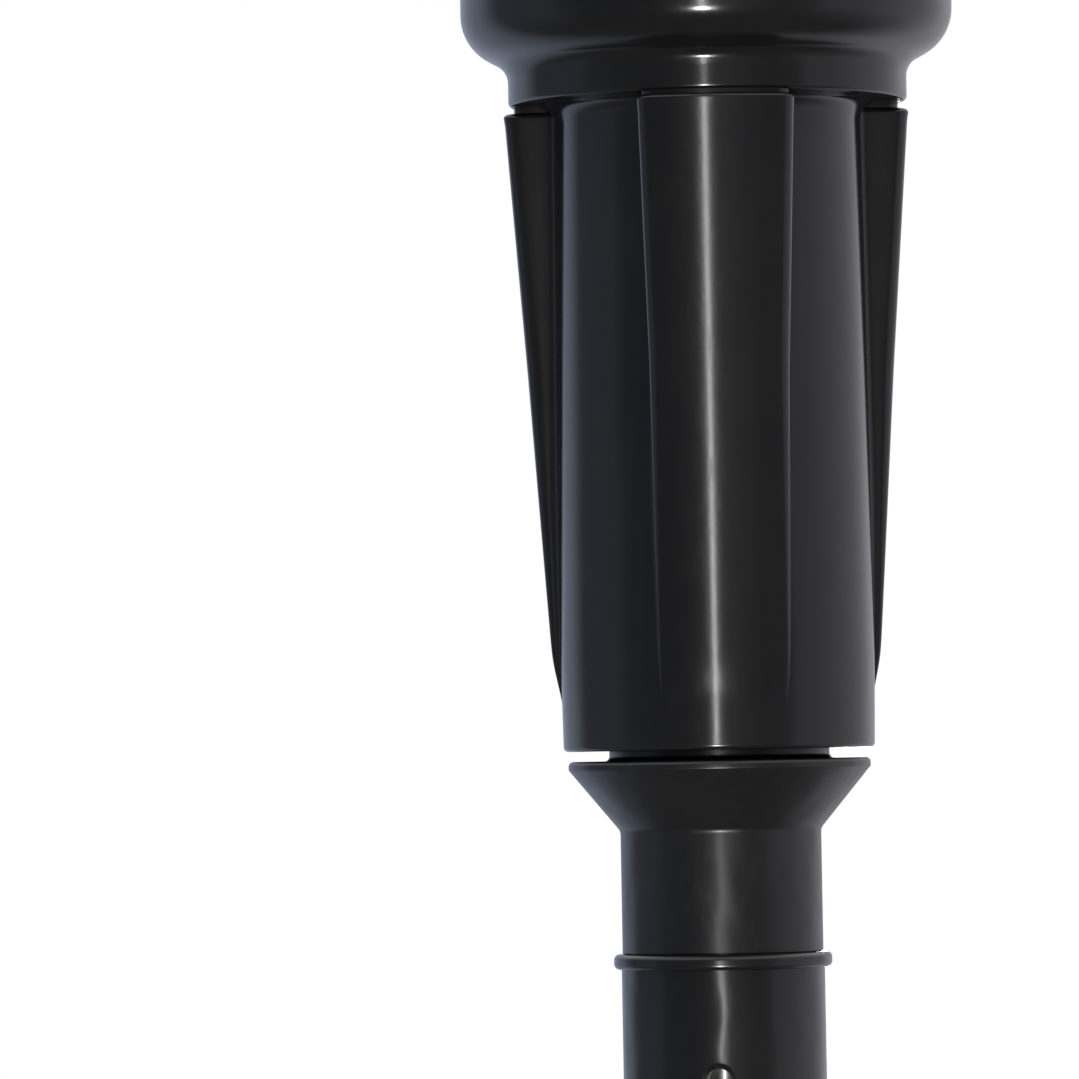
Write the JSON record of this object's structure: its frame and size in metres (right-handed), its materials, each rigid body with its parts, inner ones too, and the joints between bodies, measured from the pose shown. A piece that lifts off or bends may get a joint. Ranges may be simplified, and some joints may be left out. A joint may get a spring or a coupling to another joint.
{
  "type": "fuel nozzle",
  "caption": "Black pouring nozzle for a fuel can: union nut, finned hand grip, and a flanged spout that slides out to open its valve.",
  "frame": {"origin": "on the nozzle's axis, in the plane where the can's mouth seats on the gasket inside the coupling nut", "axes": "+Z along the nozzle's axis towards the can, so the spout's tip points down along -Z; -Y is the side that one grip fin faces; +X completes the right-handed frame"},
  "size_m": [0.052, 0.052, 0.152],
  "materials": {
    "black_gloss": "glossy moulded polyethylene with faint draw marks and fine handling scratches",
    "black_satin": "satin moulded nylon, fine grain",
    "natural_acetal": "natural acetal, slightly waxy",
    "seal_rubber": "moulded nitrile rubber with a dry bloom",
    "steel_mesh": "woven stainless wire",
    "spring_steel": "phosphated spring steel",
    "ball_steel": "polished stainless ball",
    "aluminium_tube": "drawn tube with lengthwise draw lines"
  },
  "bodies": {
    "coupling": {"coupling_nut": "black_gloss"},
    "nozzle": {"nozzle_body": "black_gloss", "clamp_ring": "black_satin", "clamp_seal": "seal_rubber", "can_gasket": "seal_rubber", "nut_slip_ring": "natural_acetal", "strainer_frame": "black_satin", "strainer_mesh": "steel_mesh", "plug_carrier": "natural_acetal", "valve_plug": "natural_acetal", "plug_seal": "seal_rubber", "carrier_clip": "spring_steel", "guide_bush": "black_satin", "wiper_ring": "seal_rubber", "vent_tube": "aluminium_tube", "vent_cage": "black_satin", "vent_cap": "natural_acetal"},
    "spout": {"spout_tube": "black_gloss", "piston_head": "black_satin", "piston_seal": "seal_rubber", "piston_backup_ring": "natural_acetal", "tip_tube": "black_gloss", "vent_guide": "natural_acetal", "vent_guide_seal": "seal_rubber"},
    "check_ball": {"vent_ball": "ball_steel"}
  },
  "joints": [
    {"name": "nut_swivel", "type": "hinge", "parent": "coupling", "child": "nozzle", "pos_m": [0, 0, -0.0063], "axis": [0, 0, 1], "continuous": true},
    {"name": "spout_slide", "type": "slide", "parent": "nozzle", "child": "spout", "axis": [0, 0, -1], "range_m": [0, 0.009]},
    {"name": "vent_check", "type": "slide", "parent": "nozzle", "child": "check_ball", "axis": [0, 0, 1], "range_m": [0, 0.0035]}
  ]
}
